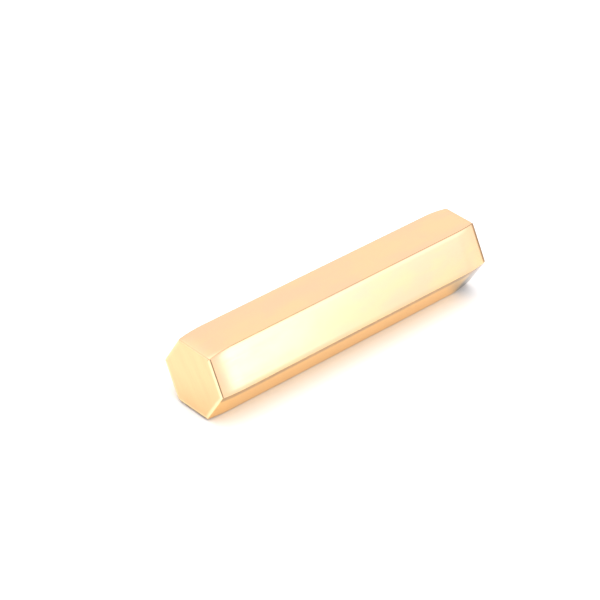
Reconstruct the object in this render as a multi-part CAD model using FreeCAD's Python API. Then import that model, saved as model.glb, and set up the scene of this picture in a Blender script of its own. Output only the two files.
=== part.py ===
import FreeCAD, Part
import math
import os

# A polished hexagonal bronze rod that lies on one of its six flats.
# Millimetres. +X runs along the rod and +Z is up.
# The origin is on the floor, under the middle of the rod.

# Driving dimensions
ACROSS_FLATS = 25.0        # hexagon, from flat to opposite flat
LENGTH = 120.0             # from end face to end face
ARRIS_RADIUS = 0.4         # the six long edges between the flats
END_EDGE_RADIUS = 0.7      # the edges around the two end faces
ROLL_OFF_LENGTH = 10.0     # stretch at each end where polishing has curved the flats inwards

# How far a flat has come in where it reaches an end face. Hand polishing took more off the top
# flat than off the other five at the -X end, and less at the +X end.
ROLL_OFF_LEFT = 0.55
ROLL_OFF_LEFT_TOP = 1.10
ROLL_OFF_RIGHT = 1.10
ROLL_OFF_RIGHT_TOP = 0.35

HALF_HEIGHT = ACROSS_FLATS / 2
HALF_LENGTH = LENGTH / 2
FLAT_PAIR_ANGLES = (0, 60, 120)    # degrees about the rod's axis, one for each pair of opposite flats
ON_PLANE = 1e-6                    # how near a point counts as on an end plane


def roll_off(end, is_top):
    """How far a flat comes in at an end; end is -1 or +1 for the end at -X or +X."""
    if end < 0:
        return ROLL_OFF_LEFT_TOP if is_top else ROLL_OFF_LEFT
    return ROLL_OFF_RIGHT_TOP if is_top else ROLL_OFF_RIGHT


def roll_off_arc(end, side, drop):
    """The arc that leaves a flat tangentially and ends in the end plane, drop further in.

    side is -1 or +1 for the lower or upper flat of a pair that lies level.
    """
    radius = (ROLL_OFF_LENGTH ** 2 + drop ** 2) / (2 * drop)
    half_sweep = math.asin(ROLL_OFF_LENGTH / radius) / 2
    start_x = HALF_LENGTH - ROLL_OFF_LENGTH
    centre_z = HALF_HEIGHT - radius

    start = FreeCAD.Vector(end * start_x, 0, side * HALF_HEIGHT)
    middle = FreeCAD.Vector(end * (start_x + radius * math.sin(half_sweep)), 0,
                            side * (centre_z + radius * math.cos(half_sweep)))
    finish = FreeCAD.Vector(end * HALF_LENGTH, 0, side * (HALF_HEIGHT - drop))
    return Part.Arc(start, middle, finish).toShape()


def joined(first, second, pick):
    """The straight edge between the same ends, first or last, of two arcs."""
    return Part.LineSegment(first.Vertexes[pick].Point, second.Vertexes[pick].Point).toShape()


def flat_pair(angle):
    """A wide slab between one pair of opposite flats, with their roll-off, turned by angle.

    The pair that isn't turned is the top and bottom flats.
    """
    arcs = {}
    for end in (-1, 1):
        for side in (-1, 1):
            is_top = angle == 0 and side == 1
            arcs[end, side] = roll_off_arc(end, side, roll_off(end, is_top))
    flats = [joined(arcs[-1, side], arcs[1, side], 0) for side in (-1, 1)]
    ends = [joined(arcs[end, -1], arcs[end, 1], -1) for end in (-1, 1)]
    outline = Part.Wire(Part.__sortEdges__(list(arcs.values()) + flats + ends))

    slab = Part.Face(outline).extrude(FreeCAD.Vector(0, 2 * ACROSS_FLATS, 0))
    slab.translate(FreeCAD.Vector(0, -ACROSS_FLATS, 0))
    slab.rotate(FreeCAD.Vector(0, 0, 0), FreeCAD.Vector(1, 0, 0), angle)
    return slab


def sharp_rod():
    """What all three slabs share: the whole rod, before its edges are rounded."""
    rod, *others = [flat_pair(angle) for angle in FLAT_PAIR_ANGLES]
    for slab in others:
        rod = rod.common(slab)
    return rod.Solids[0]


def around_end_face(edge):
    """True for an edge that lies in one of the two end planes."""
    return all(abs(abs(vertex.Point.x) - HALF_LENGTH) < ON_PLANE for vertex in edge.Vertexes)


def along_arris(edge):
    """True for an edge that runs along the rod between two neighbouring flats."""
    xs = [vertex.Point.x for vertex in edge.Vertexes]
    return max(xs) - min(xs) > ROLL_OFF_LENGTH / 2


def rounded(rod):
    """The rod with its end edges rounded first, and then its arrises."""
    end_edges = [edge for edge in rod.Edges if around_end_face(edge)]
    rod = rod.makeFillet(END_EDGE_RADIUS, end_edges)
    arrises = [edge for edge in rod.Edges if along_arris(edge)]
    return rod.makeFillet(ARRIS_RADIUS, arrises).Solids[0]


hex_rod = rounded(sharp_rod())
hex_rod.translate(FreeCAD.Vector(0, 0, HALF_HEIGHT))

os.makedirs("parts", exist_ok=True)
hex_rod.exportStep("parts/hex_rod.step")
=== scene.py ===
import math

import bpy
import numpy as np
from mathutils import Matrix, Vector


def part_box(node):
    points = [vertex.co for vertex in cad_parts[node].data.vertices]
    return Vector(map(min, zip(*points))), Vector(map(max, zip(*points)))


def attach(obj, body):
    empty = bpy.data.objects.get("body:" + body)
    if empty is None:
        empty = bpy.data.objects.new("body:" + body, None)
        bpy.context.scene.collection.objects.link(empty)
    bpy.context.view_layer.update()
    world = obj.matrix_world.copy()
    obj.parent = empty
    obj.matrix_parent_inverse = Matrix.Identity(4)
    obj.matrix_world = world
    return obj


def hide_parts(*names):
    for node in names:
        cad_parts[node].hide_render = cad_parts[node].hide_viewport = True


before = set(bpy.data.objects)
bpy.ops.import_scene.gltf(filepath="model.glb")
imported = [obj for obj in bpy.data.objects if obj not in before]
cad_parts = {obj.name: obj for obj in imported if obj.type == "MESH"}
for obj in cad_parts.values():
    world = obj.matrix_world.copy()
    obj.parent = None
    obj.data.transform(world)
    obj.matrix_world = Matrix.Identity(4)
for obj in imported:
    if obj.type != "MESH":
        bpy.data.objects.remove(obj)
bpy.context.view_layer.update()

# A polished hexagonal bronze rod that lies on one of its flats, on a pale floor under soft light.
# Metres. +X runs along the rod, +Z is up, and the origin is on the floor under its middle.

# ---------------------------------------------------------------- sizes, from the frame and the part
LOW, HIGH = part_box("hex_rod")
MM = 0.001
ACROSS_FLATS = HIGH.z - LOW.z
AXIS_HEIGHT = (HIGH.z + LOW.z) / 2
APOTHEM = ACROSS_FLATS / 2
ARRIS_RADIUS = 0.4 * MM
END_EDGE_RADIUS = 0.7 * MM
ROLL_OFF_LENGTH = 10.0 * MM
# How far a flat has come in at an end face, and the same for the top flat
ROLL_OFF = {"left": 0.55 * MM, "right": 1.10 * MM}
ROLL_OFF_TOP = {"left": 1.10 * MM, "right": 0.35 * MM}

# Painted light on each side, for the top side and then on round by the front: how strong the painted
# highlight and the painted dark reflection are on its end edge, and how strong the painted reflection of
# the floor's shadow is on its roll-off
PAINTED_HIGHLIGHT_END = {"left": (0.0, 0.8, 1.0, 1.0, 0.9, 0.25), "right": (0.0, 0.0, 0.2, 0.4, 0.3, 0.1)}
PAINTED_DARK_END = {"left": (0.0, 0.55, 0.2, 0.9, 0.6, 0.1), "right": (0.1, 1.0, 0.5, 0.6, 0.5, 0.3)}
PAINTED_SHADOW_END = {"left": (0.0, 0.0, 0.0, 0.2, 0.2, 0.0), "right": (0.0, 0.0, 1.0, 0.4, 0.4, 0.0)}
# How strong each side's painted dark reflection and painted highlight are towards the arris before it
# and towards the one after it
PAINTED_DARK_ARRIS = ((0.3, 0.60), (0.50, 0.0), (0.9, 0.5), (0.5, 0.5), (0.5, 0.4), (0.4, 0.3))
PAINTED_HIGHLIGHT_ARRIS = ((0.0, 0.0), (0.0, 0.7), (0.0, 0.0), (0.0, 0.0), (0.0, 0.0), (0.0, 0.0))

# How far in from the end plane the end edge's painted dark line fades in and out, and how far in its
# painted highlight line and the painted shadow reflection fade in. On the flats that face the floor the
# painted dark line, a painted reflection of the shadowed floor, runs out to the end plane.
PAINTED_DARK_PLACE = {"left": (0.70 * MM, 0.55 * MM, 0.27 * MM, 0.18 * MM),
               "right": (1.70 * MM, 0.90 * MM, 0.05 * MM, 0.02 * MM)}
PAINTED_HIGHLIGHT_PLACE = (0.30 * MM, 0.20 * MM)
FLOOR_SIDES = (3, 4)
AT_END_PLANE = (0.012 * MM, 0.0)
PAINTED_SHADOW_PLACE = (10.0 * MM, 5.5 * MM)
# Where the end face's own finish fades in, and the sides given a deeper orange tone, a painted
# reflection of the warm bounce light under the rod
END_FINISH_PLACE = (0.05 * MM, 0.0)
PAINTED_BOUNCE_SIDES = (0.0, 0.0, 1.0, 1.0, 1.0, 0.0)

# The share of the turn to an arris's ridge over which its painted dark line and its painted highlight
# line fade in
PAINTED_DARK_FROM = (0.10, 0.40)
PAINTED_HIGHLIGHT_FROM = (0.30, 0.70)
# The painted dark reflection on the lower front flat, which fades out downwards from its upper arris
PAINTED_DARK_FLAT_SIDE = 2
PAINTED_DARK_FLAT_WIDTH = 1.9 * MM
PAINTED_DARK_FLAT = 0.75

SIDES = 6
SIDE_TURN = 2 * math.pi / SIDES

# Polishing leaves a soft shoulder beside each arris, and long shallow waves in the flats.
SHOULDER_RADIUS = 20.0 * MM
SHOULDER_TURN = math.radians(4)
WAVE_DEPTH = 0.006 * MM
WAVE_LENGTHS = (12 * MM, 50 * MM)
WAVE_ALONG = 0.45          # how much of a wave's direction runs along the rod, against across it
WAVES = 14
SEED = 11

# How finely the mesh is cut
CELL = 0.5 * MM
FILLET_STEPS = 9
ROLL_OFF_STEPS = 20
FLAT_STEPS = 22
SHOULDER_STEPS = 3
ARRIS_STEPS = 4
END_RINGS = 14


# ---------------------------------------------------------------- the rod's shape
def eased(value, low, high):
    """0 at low and 1 at high, eased at both; low may be the higher one."""
    share = min(max((value - low) / (high - low), 0.0), 1.0)
    return share * share * (3 - 2 * share)


def flat_at(inward, drop):
    """A flat's height over the axis and its slope, at a distance in from the end plane.

    Outwards from the flat come the roll-off arc and the end edge's radius. The slope is 0 on the
    flat itself and a right angle at the end plane.
    """
    if inward >= ROLL_OFF_LENGTH:
        return APOTHEM, 0.0
    # The radii of the roll-off arc and of the end edge, and how far apart their centres are along X
    big = (ROLL_OFF_LENGTH ** 2 + drop ** 2) / (2 * drop)
    small = END_EDGE_RADIUS
    run = ROLL_OFF_LENGTH - small
    meeting = run / (big - small)
    if inward >= small * (1 - meeting):
        slope = math.asin((ROLL_OFF_LENGTH - inward) / big)
        return APOTHEM - big + big * math.cos(slope), slope
    slope = math.asin(1 - inward / small)
    small_height = APOTHEM - big + math.sqrt((big - small) ** 2 - run ** 2)
    return small_height + small * math.cos(slope), slope


def inward_steps():
    """Distances in from an end plane, close together round the end edge's radius."""
    quarter = math.pi / 2
    steps = [END_EDGE_RADIUS * (1 - math.cos(quarter * k / FILLET_STEPS)) for k in range(FILLET_STEPS)]
    run = ROLL_OFF_LENGTH - END_EDGE_RADIUS
    return steps + [END_EDGE_RADIUS + run * k / ROLL_OFF_STEPS for k in range(ROLL_OFF_STEPS + 1)]


def stations():
    """Rows along the rod from the left end face to the right, as (x, flats).

    flats has each side's height over the axis and its slope along +X, the top side first.
    """
    def row(x, end, inward, way):
        top = flat_at(inward, ROLL_OFF_TOP[end])
        like = flat_at(inward, ROLL_OFF[end])
        flats = [top] + [like] * (SIDES - 1)
        return x, [(height, slope * way) for height, slope in flats]

    left = [row(LOW.x + inward, "left", inward, 1) for inward in inward_steps()]
    right = [row(HIGH.x - inward, "right", inward, -1) for inward in inward_steps()]
    start, stop = left[-1][0], right[-1][0]
    cuts = round((stop - start) / CELL)
    level = [(APOTHEM, 0.0)] * SIDES
    middle = [(start + (stop - start) * k / cuts, level) for k in range(1, cuts)]
    return left + middle + right[::-1]


def half_corner():
    """Offsets (along the flat, below the flat, turn) from where the flat ends to the arris's ridge."""
    points = []
    for step in range(SHOULDER_STEPS + 1):
        turn = SHOULDER_TURN * step / SHOULDER_STEPS
        points.append((SHOULDER_RADIUS * math.sin(turn), SHOULDER_RADIUS * (1 - math.cos(turn)), turn))
    along, below, _ = points[-1]
    for step in range(1, ARRIS_STEPS + 1):
        turn = SHOULDER_TURN + (SIDE_TURN / 2 - SHOULDER_TURN) * step / ARRIS_STEPS
        points.append((along + ARRIS_RADIUS * (math.sin(turn) - math.sin(SHOULDER_TURN)),
                       below + ARRIS_RADIUS * (math.cos(SHOULDER_TURN) - math.cos(turn)), turn))
    return points


CORNER = half_corner()
# From the sharp corner to the flat's end
SETBACK = CORNER[-1][0] + CORNER[-1][1] * math.tan(SIDE_TURN / 2)


def ring(flats):
    """One cross-section: its points and normals, and how strong the painted dark reflection and the
    painted highlight on the arrises are there.
    """
    points, normals, painted_dark, bright = [], [], [], []
    for side, (height, slope) in enumerate(flats):
        angle = math.pi / 2 + side * SIDE_TURN
        out = np.array([0.0, math.cos(angle), math.sin(angle)])
        along = np.array([0.0, -math.sin(angle), math.cos(angle)])
        before, after = flats[side - 1], flats[(side + 1) % SIDES]
        ends = [-(before[0] - height * math.cos(SIDE_TURN)) / math.sin(SIDE_TURN),
                (after[0] - height * math.cos(SIDE_TURN)) / math.sin(SIDE_TURN)]

        def add(place, below, turn, way, other_slope):
            """A point below the flat, turned towards the neighbour on the side that way gives."""
            share = turn / SIDE_TURN
            tilt = slope * (1 - share) + other_slope * share
            reach = math.cos(SIDE_TURN / 2 - turn) / math.cos(SIDE_TURN / 2)
            points.append(out * (height - below) + along * place)
            round_it = out * math.cos(turn) + along * way * math.sin(turn)
            normals.append(round_it * math.cos(tilt) - np.array([math.sin(tilt) * reach, 0.0, 0.0]))
            near, neighbour = turn / (SIDE_TURN / 2), (way + 1) // 2
            start = PAINTED_DARK_FLAT if side == PAINTED_DARK_FLAT_SIDE and way < 0 else 0.0
            painted_dark.append(max(start, PAINTED_DARK_ARRIS[side][neighbour] * eased(near, *PAINTED_DARK_FROM)))
            bright.append(PAINTED_HIGHLIGHT_ARRIS[side][neighbour] * eased(near, *PAINTED_HIGHLIGHT_FROM))

        for offset, below, turn in CORNER[:0:-1]:
            add(ends[0] + SETBACK - offset, below, turn, -1, before[1])
        first, last = ends[0] + SETBACK, ends[1] - SETBACK
        for step in range(FLAT_STEPS + 1):
            add(first + (last - first) * step / FLAT_STEPS, 0.0, 0.0, 1, slope)
            if side == PAINTED_DARK_FLAT_SIDE:
                painted_dark[-1] = PAINTED_DARK_FLAT * eased((last - first) * step / FLAT_STEPS, PAINTED_DARK_FLAT_WIDTH, 0.0)
        for offset, below, turn in CORNER[1:-1]:
            add(ends[1] - SETBACK + offset, below, turn, 1, after[1])
    return np.array(points), np.array(normals), np.array(painted_dark), np.array(bright)


def waviness():
    """A function that gives how far polishing has sunk the surface at each of many points."""
    draw = np.random.default_rng(SEED)
    lengths = draw.uniform(*WAVE_LENGTHS, WAVES)
    ways = draw.normal(size=(WAVES, 3))
    ways[:, 0] *= WAVE_ALONG
    ways /= np.linalg.norm(ways, axis=1, keepdims=True)
    phases = draw.uniform(0, 2 * math.pi, WAVES)

    def sunk(points):
        turns = points @ (ways / lengths[:, None]).T * 2 * math.pi + phases
        share = lengths / lengths.sum()
        return WAVE_DEPTH * (1 + (np.sin(turns) * share).sum(axis=-1))

    return sunk


def end_painted_light(end, inward):
    """How strong each side's painted dark line and painted highlight on its end edge are, at a distance
    in from the end plane.
    """
    fade_in, full, fade, gone = PAINTED_DARK_PLACE[end]
    starts = eased(inward, fade_in, full)
    painted_dark, bright = [], []
    for side in range(SIDES):
        on_floor = side in FLOOR_SIDES
        stops = eased(inward, *AT_END_PLANE[::-1]) if on_floor else eased(inward, gone, fade)
        painted_dark.append(PAINTED_DARK_END[end][side] * starts * stops)
        place = AT_END_PLANE if on_floor else PAINTED_HIGHLIGHT_PLACE
        bright.append(PAINTED_HIGHLIGHT_END[end][side] * eased(inward, *place))
    return painted_dark, bright


def rod_mesh():
    """Vertices, faces, normals, and the painted light and end finish at each vertex for the whole rod.
    """
    places, normals, faces = [], [], []
    painted_light_and_finish = {name: [] for name in ("painted_dark", "bright", "painted_shadow", "under", "on_end")}
    rows = stations()
    for x, flats in rows:
        points, around, painted_dark, bright = ring(flats)
        places.append(points + np.array([x, 0.0, AXIS_HEIGHT]))
        normals.append(around)
        end = "left" if x < (LOW.x + HIGH.x) / 2 else "right"
        inward = min(x - LOW.x, HIGH.x - x)
        on_side = len(points) // SIDES
        painted_dark_end, painted_highlight_end = end_painted_light(end, inward)
        # Painted dark reflections, painted highlights, painted shadow reflection and painted bounce
        # tint, then the end face's own finish
        painted_light_and_finish["painted_dark"].append(np.maximum(painted_dark, np.repeat(painted_dark_end, on_side)))
        painted_light_and_finish["bright"].append(np.maximum(bright, np.repeat(painted_highlight_end, on_side)))
        painted_light_and_finish["painted_shadow"].append(np.repeat(PAINTED_SHADOW_END[end], on_side) * eased(inward, *PAINTED_SHADOW_PLACE))
        painted_light_and_finish["under"].append(np.repeat(PAINTED_BOUNCE_SIDES, on_side))
        painted_light_and_finish["on_end"].append(np.full(len(points), eased(inward, *END_FINISH_PLACE)))
    count = len(places[0])

    for row in range(len(rows) - 1):
        for k in range(count):
            after = (k + 1) % count
            faces.append((row * count + k, row * count + after,
                          (row + 1) * count + after, (row + 1) * count + k))

    # The two end faces: rings that shrink towards a middle point
    for end_row, way in ((0, -1), (len(rows) - 1, 1)):
        rim = places[end_row]
        centre = np.array([rim[0, 0], 0.0, AXIS_HEIGHT])
        outer = end_row * count
        for step in range(1, END_RINGS + 2):
            inner = sum(len(part) for part in places)
            last = step == END_RINGS + 1
            share = 1 - step / (END_RINGS + 1)
            inside = centre[None] if last else centre + (rim - centre) * share
            places.append(inside)
            normals.append(np.tile([way, 0.0, 0.0], (len(inside), 1)))
            for name, values in painted_light_and_finish.items():
                values.append(np.full(len(inside), 1.0 if name == "on_end" else 0.0))
            for k in range(count):
                after = (k + 1) % count
                face = (outer + k, inner, outer + after) if last else (
                    outer + k, inner + k, inner + after, outer + after)
                faces.append(face if way < 0 else face[::-1])
            outer = inner

    places, normals = np.vstack(places), np.vstack(normals)
    normals /= np.linalg.norm(normals, axis=1, keepdims=True)
    return places, faces, normals, {name: np.concatenate(values) for name, values in painted_light_and_finish.items()}


def sink(places, normals):
    """The places moved in by the waves, and the normals turned to suit."""
    sunk = waviness()
    near = 0.1 * MM
    level = sunk(places)
    slopes = np.column_stack([(sunk(places + axis * near) - level) / near for axis in np.eye(3)])
    slopes -= (slopes * normals).sum(axis=1, keepdims=True) * normals
    turned = normals + slopes
    return places - normals * level[:, None], turned / np.linalg.norm(turned, axis=1, keepdims=True)


def build_rod():
    """The detailed rod, whose painted highlights, painted dark reflections, painted shadow reflection,
    painted bounce tint and end finish are held in its mesh's attributes.
    """
    places, faces, normals, painted_light_and_finish = rod_mesh()
    places, normals = sink(places, normals)
    mesh = bpy.data.meshes.new("polished_rod")
    mesh.from_pydata(places.tolist(), [], faces)
    mesh.shade_smooth()
    mesh.normals_split_custom_set_from_vertices(normals.tolist())
    for name, values in painted_light_and_finish.items():
        layer = mesh.attributes.new(name, "FLOAT", "POINT")
        layer.data.foreach_set("value", values.astype(np.float32))
    rod = bpy.data.objects.new("polished_rod", mesh)
    bpy.context.scene.collection.objects.link(rod)
    return rod


# ---------------------------------------------------------------- materials
BRONZE_YELLOW = (0.96, 0.65, 0.36, 1)
BRONZE_PINK = (0.95, 0.615, 0.378, 1)
# Deeper orange for the lower flats: a painted reflection of the warm bounce light under the rod
BRONZE_PAINTED_BOUNCE = (1.0, 0.635, 0.212, 1)
BRONZE_END = (0.955, 0.60, 0.315, 1)
END_STREAK = (0.86, 0.53, 0.28, 1)
END_STREAK_SHARE = 0.55
SPECK = (0.80, 0.47, 0.27, 1)
SPECK_SHARE = 0.10
# Dark colour of the painted reflection of the shadowed floor on the lower roll-offs
PAINTED_SHADOW_REFLECTION = (0.18, 0.155, 0.13, 1)
# Cream colour of the painted highlight lines along the edges
PAINTED_HIGHLIGHT = (1.0, 0.84, 0.50, 1)
# Dark colour of the painted dark reflection lines along the edges
PAINTED_DARK_EDGE = (0.28, 0.16, 0.07, 1)
EDGE_EVENNESS = (0.8, 1.0)
ROUGHNESS = (0.10, 0.19)
BUMP_STRENGTH = 0.4
BUMP_DEPTH = 0.004 * MM
END_GRAIN_TURN = math.radians(37)     # from upright, to where the end face's saw marks run


class Nodes:
    """Short ways to add nodes to one node tree."""

    def __init__(self, tree):
        self.nodes, self.links = tree.nodes, tree.links

    def add(self, kind, **settings):
        """A new node of that kind, with those settings."""
        node = self.nodes.new(kind)
        for name, value in settings.items():
            setattr(node, name, value)
        return node

    def feed(self, socket, value):
        """Sets the socket, or links it if the value is another node's output."""
        if isinstance(value, bpy.types.NodeSocket):
            self.links.new(value, socket)
        else:
            socket.default_value = value

    def math(self, operation, *values):
        """The outcome of that operation on numbers or on other nodes' outputs."""
        node = self.add("ShaderNodeMath", operation=operation)
        for socket, value in zip(node.inputs, values):
            self.feed(socket, value)
        return node.outputs[0]

    def ramp(self, value, low, high, low_out=0.0, high_out=1.0):
        """value from low..high to low_out..high_out, eased at both ends."""
        node = self.add("ShaderNodeMapRange", interpolation_type="SMOOTHSTEP")
        for socket, number in zip(node.inputs, (value, low, high, low_out, high_out)):
            self.feed(socket, number)
        return node.outputs[0]

    def mix(self, share, first, second):
        """The first colour at share 0, and the second at share 1."""
        node = self.add("ShaderNodeMix", data_type="RGBA")
        self.feed(node.inputs["Factor"], share)
        self.feed(node.inputs[6], first)
        self.feed(node.inputs[7], second)
        return node.outputs[2]

    def curve(self, value, stops):
        """A smooth run near the (place, value) stops."""
        node = self.add("ShaderNodeFloatCurve")
        points = node.mapping.curves[0].points
        node.mapping.clip_max_y = 4.0
        while len(points) < len(stops):
            points.new(0.5, 0.5)
        for point, stop in zip(points, stops):
            point.location = stop
        node.mapping.update()
        self.feed(node.inputs["Value"], value)
        return node.outputs[0]

    def turned(self, place, turn):
        """The place after a turn about the three axes."""
        node = self.add("ShaderNodeMapping")
        self.feed(node.inputs["Vector"], place)
        node.inputs["Rotation"].default_value = turn
        return node.outputs[0]

    def noise(self, place, stretch, detail=3.0, roughness=0.5):
        """Noise, 0 to 1, with its size set by stretch: how many of its grains go in a metre."""
        mapping = self.add("ShaderNodeMapping")
        self.feed(mapping.inputs["Vector"], place)
        mapping.inputs["Scale"].default_value = stretch
        node = self.add("ShaderNodeTexNoise")
        self.feed(node.inputs["Vector"], mapping.outputs[0])
        node.inputs["Scale"].default_value = 1.0
        node.inputs["Detail"].default_value = detail
        node.inputs["Roughness"].default_value = roughness
        return node.outputs["Fac"]


def bronze():
    """Hand-polished bronze: lengthwise polishing lines, a grained end and faint patches, with painted
    highlights, painted dark reflections, a painted shadow reflection and a painted bounce tint laid on
    from the mesh's attributes.
    """
    material = bpy.data.materials.new("bronze")
    material.use_nodes = True
    n = Nodes(material.node_tree)
    shader = n.nodes["Principled BSDF"]
    place = n.add("ShaderNodeTexCoord").outputs["Object"]
    painted_dark, bright, painted_shadow, under, on_end = [
        n.add("ShaderNodeAttribute", attribute_name=name).outputs["Fac"]
        for name in ("painted_dark", "bright", "painted_shadow", "under", "on_end")]

    patches = n.noise(place, (45, 110, 110), detail=4.0, roughness=0.6)
    flat_lines = n.noise(place, (14, 1500, 1500), detail=4.0, roughness=0.65)
    end_place = n.turned(place, (END_GRAIN_TURN, 0, 0))
    end_lines = n.noise(end_place, (60, 700, 60), detail=4.0, roughness=0.7)
    lines = n.math("ADD", n.math("MULTIPLY", flat_lines, n.math("SUBTRACT", 1.0, on_end)),
                   n.math("MULTIPLY", end_lines, on_end))
    specks = n.noise(place, (2600, 2600, 2600), detail=2.0)

    polished = n.mix(n.ramp(patches, 0.35, 0.65), BRONZE_PINK, BRONZE_YELLOW)
    # The lower flats take a deeper orange, a painted reflection of the warm bounce light under the rod
    colour = n.mix(on_end, n.mix(under, polished, BRONZE_PAINTED_BOUNCE), BRONZE_END)
    streak = n.math("MULTIPLY", on_end, END_STREAK_SHARE)
    streaked = n.mix(n.math("MULTIPLY", n.ramp(end_lines, 0.38, 0.68), streak), colour, END_STREAK)
    fine = n.mix(n.math("MULTIPLY", n.ramp(specks, 0.45, 0.75), SPECK_SHARE), streaked, SPECK)
    uneven = n.ramp(n.noise(place, (260, 260, 260), detail=2.0), 0.25, 0.55, *EDGE_EVENNESS)
    # Painted reflection of the shadowed floor on the lower roll-offs
    with_painted_shadow = n.mix(painted_shadow, fine, PAINTED_SHADOW_REFLECTION)
    # Painted dark reflection lines along the arrises and end edges, and on the lower front flat
    with_painted_dark = n.mix(n.math("MULTIPLY", painted_dark, uneven), with_painted_shadow, PAINTED_DARK_EDGE)
    # Painted highlight lines along the end edges and one arris
    n.feed(shader.inputs["Base Color"], n.mix(n.math("MULTIPLY", bright, uneven), with_painted_dark, PAINTED_HIGHLIGHT))

    shader.inputs["Metallic"].default_value = 1.0
    dull = n.math("ADD", n.math("MULTIPLY", lines, 0.6), n.math("MULTIPLY", patches, 0.4))
    n.feed(shader.inputs["Roughness"], n.ramp(dull, 0.3, 0.7, *ROUGHNESS))

    bump = n.add("ShaderNodeBump")
    bump.inputs["Strength"].default_value = BUMP_STRENGTH
    bump.inputs["Distance"].default_value = BUMP_DEPTH
    n.feed(bump.inputs["Height"], lines)
    n.feed(shader.inputs["Normal"], bump.outputs["Normal"])
    return material


def pale_floor():
    """Matt, nearly white paper."""
    material = bpy.data.materials.new("pale_floor")
    material.use_nodes = True
    shader = material.node_tree.nodes["Principled BSDF"]
    shader.inputs["Base Color"].default_value = (0.92, 0.92, 0.92, 1)
    shader.inputs["Roughness"].default_value = 0.9
    shader.inputs["Specular IOR Level"].default_value = 0.0
    return material


# ---------------------------------------------------------------- stage, light and camera
FLOOR_HALF = 4.0


def build_floor():
    """A wide square of floor, which is no part of the object."""
    corners = [(x * FLOOR_HALF, y * FLOOR_HALF, 0) for x, y in ((-1, -1), (1, -1), (1, 1), (-1, 1))]
    mesh = bpy.data.meshes.new("floor")
    mesh.from_pydata(corners, [], [(0, 1, 2, 3)])
    floor = bpy.data.objects.new("floor", mesh)
    bpy.context.scene.collection.objects.link(floor)
    floor.data.materials.append(pale_floor())


def direction(azimuth, elevation):
    """The unit vector towards a place at that azimuth, counted as the camera's is, and elevation."""
    a, e = math.radians(azimuth), math.radians(elevation)
    return Vector((math.sin(a) * math.cos(e), -math.cos(a) * math.cos(e), math.sin(e)))


# The softbox that the upper front flat mirrors: where it stands, its size, and its brightness, which
# varies from its left edge to its right and from its foot to its top
SOFTBOX_AZIMUTH, SOFTBOX_ELEVATION = 37, 14
SOFTBOX_DISTANCE = 0.45
SOFTBOX_WIDTH, SOFTBOX_HEIGHT = 0.36, 0.16
SOFTBOX_GLOW = 0.95
SOFTBOX_COLOUR = (1.0, 0.82, 1.12)
GLOW_ACROSS = ((0.0, 0.0), (0.09, 0.12), (0.20, 0.75), (0.32, 0.95),
               (0.50, 0.50), (0.68, 0.45), (0.85, 0.40), (1.0, 0.10))
GLOW_UPWARDS = ((0.0, 0.0), (0.30, 0.30), (0.40, 0.75), (0.50, 1.15),
                (0.58, 1.75), (0.74, 1.50), (1.0, 0.8))


def build_softbox():
    """An area light that faces the rod and doesn't show itself."""
    light = bpy.data.lights.new("key_softbox", "AREA")
    light.shape = "RECTANGLE"
    light.size = SOFTBOX_WIDTH
    light.size_y = SOFTBOX_HEIGHT
    light.energy = SOFTBOX_GLOW * SOFTBOX_WIDTH * SOFTBOX_HEIGHT * math.pi
    light.color = SOFTBOX_COLOUR
    light.use_nodes = True
    n = Nodes(light.node_tree)
    spot = n.add("ShaderNodeSeparateXYZ")
    n.feed(spot.inputs[0], n.add("ShaderNodeNewGeometry").outputs["Parametric"])
    across = n.curve(spot.outputs["X"], GLOW_ACROSS)
    upwards = n.curve(spot.outputs["Y"], GLOW_UPWARDS)
    n.feed(n.nodes["Emission"].inputs["Strength"], n.math("MULTIPLY", across, upwards))
    lamp = bpy.data.objects.new("key_softbox", light)
    bpy.context.scene.collection.objects.link(lamp)
    way = direction(SOFTBOX_AZIMUTH, SOFTBOX_ELEVATION)
    lamp.location = Vector((0, 0, AXIS_HEIGHT)) + way * SOFTBOX_DISTANCE
    lamp.rotation_mode = "QUATERNION"
    lamp.rotation_quaternion = way.to_track_quat("Z", "Y")
    lamp.visible_camera = False


ROOM = 1.15                        # how bright the walls are
ROOM_COLOUR = (1.0, 0.99, 1.0, 1)
CEILING = 1.1                      # how much brighter the ceiling is
CEILING_FROM = (0.70, 0.95)        # where the ceiling fades in, as the sine of the elevation
# Bright and dark screens: azimuth, elevation, full within and gone by (degrees), share of brightness
SCREENS = ((-30, 52, 15, 40, 1.35), (-16, 17, 6, 16, 0.10), (86, 0, 8, 20, 0.10), (56, 5, 4, 14, 1.15))


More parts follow.
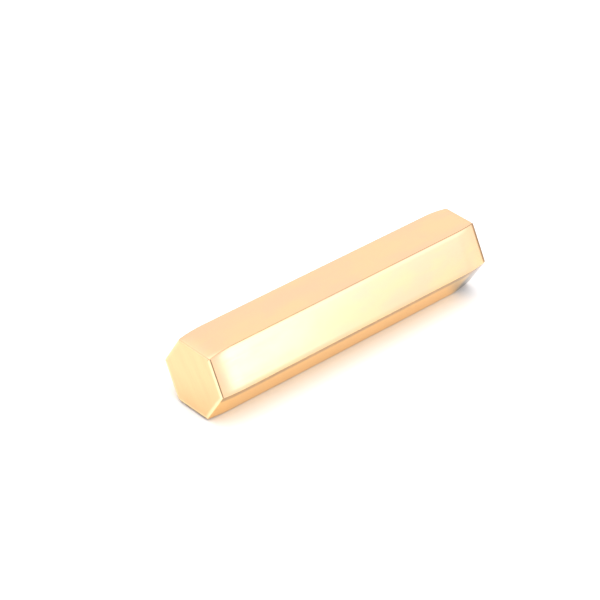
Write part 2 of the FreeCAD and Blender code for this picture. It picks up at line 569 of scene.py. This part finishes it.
def build_world():
    """A white room with a brighter ceiling and a few screens."""
    world = bpy.data.worlds.new("studio")
    bpy.context.scene.world = world
    world.use_nodes = True
    n = Nodes(world.node_tree)
    way = n.add("ShaderNodeTexCoord").outputs["Generated"]
    upward = n.add("ShaderNodeSeparateXYZ")
    n.feed(upward.inputs[0], way)
    bright = n.ramp(upward.outputs["Z"], *CEILING_FROM, ROOM, ROOM + CEILING)
    for azimuth, elevation, core, rim, share in SCREENS:
        facing = n.add("ShaderNodeVectorMath", operation="DOT_PRODUCT")
        n.feed(facing.inputs[0], way)
        facing.inputs[1].default_value = direction(azimuth, elevation)
        inner, outer = math.cos(math.radians(core)), math.cos(math.radians(rim))
        bright = n.math("MULTIPLY", bright, n.ramp(facing.outputs["Value"], outer, inner, 1.0, share))
    n.feed(n.nodes["Background"].inputs["Strength"], bright)
    n.nodes["Background"].inputs["Color"].default_value = ROOM_COLOUR


# The camera's place, in degrees and in the rod's own sizes: it looks down on the left end face.
CAMERA_AZIMUTH = -44.8
CAMERA_ELEVATION = 33.96
CAMERA_ROLL = math.radians(2.57)
CAMERA_DISTANCE = 30.7 * ACROSS_FLATS
# As shares of the image's width: how large the size across flats shows at that distance, and how far
# from the image's centre the rod's middle shows
FLATS_SHARE = 0.1275
AIM_RIGHT, AIM_UP = 0.05217, -0.01533
SENSOR = 36.0
CLIP_START, CLIP_END = 0.01, 20.0


def build_camera():
    """The camera, which is rolled a little and has the rod off its centre."""
    camera = bpy.data.cameras.new("camera")
    camera.sensor_width = SENSOR
    focal = FLATS_SHARE * CAMERA_DISTANCE / ACROSS_FLATS
    camera.lens = focal * SENSOR
    eye = bpy.data.objects.new("camera", camera)
    bpy.context.scene.collection.objects.link(eye)

    back = direction(CAMERA_AZIMUTH, CAMERA_ELEVATION)
    level_right = (-back).cross(Vector((0, 0, 1))).normalized()
    level_up = level_right.cross(-back)
    right = level_right * math.cos(CAMERA_ROLL) + level_up * math.sin(CAMERA_ROLL)
    up = level_up * math.cos(CAMERA_ROLL) - level_right * math.sin(CAMERA_ROLL)
    towards = -back + right * (AIM_RIGHT / focal) + up * (AIM_UP / focal)
    eye.location = Vector((0, 0, AXIS_HEIGHT)) - towards * CAMERA_DISTANCE
    turn = np.array([right, up, back]).T
    eye.rotation_mode = "QUATERNION"
    eye.rotation_quaternion = Matrix(turn.tolist()).to_quaternion()
    camera.clip_start, camera.clip_end = CLIP_START, CLIP_END
    bpy.context.scene.camera = eye


build_camera()
build_floor()
build_world()
build_softbox()
bpy.context.scene.view_settings.view_transform = "Standard"

rod = build_rod()
rod.data.materials.append(bronze())
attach(rod, "root")
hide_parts("hex_rod")
